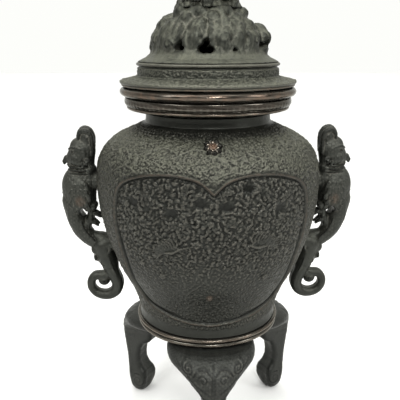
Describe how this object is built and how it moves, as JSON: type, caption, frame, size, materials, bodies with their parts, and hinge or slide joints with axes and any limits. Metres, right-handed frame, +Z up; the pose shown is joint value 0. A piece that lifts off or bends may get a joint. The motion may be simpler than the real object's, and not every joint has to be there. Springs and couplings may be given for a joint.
{
  "type": "tripod incense burner",
  "caption": "Bronze tripod incense burner: a relief jar on cabriole legs with bird handles on scroll brackets, and a lift-off openwork lid with a lion finial.",
  "frame": {"origin": "on the ground, under the middle of the jar", "axes": "+Z up, -Y towards the front (the front leg and the shoulder crest), +X to the right handle"},
  "size_m": [0.2512, 0.1852, 0.431],
  "materials": {
    "jar_bronze": "dark brown to greenish grey patina over cast relief, satin, rubbed on high spots",
    "rim_bronze": "dark bronze, semi-gloss, rubbed coppery on the mouldings",
    "leg_bronze": "near black bronze, satin",
    "handle_bronze": "near black bronze, satin, rubbed on the wings",
    "lid_bronze": "greenish grey patina over cast relief, dry in the recesses",
    "rivet_bronze": "dull brown",
    "copper": "worn copper, satin"
  },
  "bodies": {
    "vessel": {"vessel_body": "jar_bronze", "base_bead": "rim_bronze", "base_plate": "leg_bronze", "rim_ring": "rim_bronze", "shoulder_crest": "copper", "leg_front": "leg_bronze", "leg_left": "leg_bronze", "leg_right": "leg_bronze", "leg_rivet_front": "rivet_bronze", "leg_rivet_left": "rivet_bronze", "leg_rivet_right": "rivet_bronze", "bird_left": "handle_bronze", "bird_right": "handle_bronze", "bracket_left": "handle_bronze", "bracket_right": "handle_bronze", "bird_rivet_left": "rivet_bronze", "bird_rivet_right": "rivet_bronze", "bracket_rivet_left": "rivet_bronze", "bracket_rivet_right": "rivet_bronze"},
    "lid": {"lid_base": "lid_bronze", "lid_dome": "lid_bronze", "lion_body": "lid_bronze", "lion_head": "lid_bronze", "lion_tail": "lid_bronze", "lion_ball": "rivet_bronze", "finial_stud": "rivet_bronze", "finial_washer": "rivet_bronze", "finial_nut": "rivet_bronze"}
  },
  "joints": [
    {"name": "lid_lift", "type": "slide", "parent": "vessel", "child": "lid", "axis": [0, 0, 1], "range_m": [0, 0.06]}
  ]
}
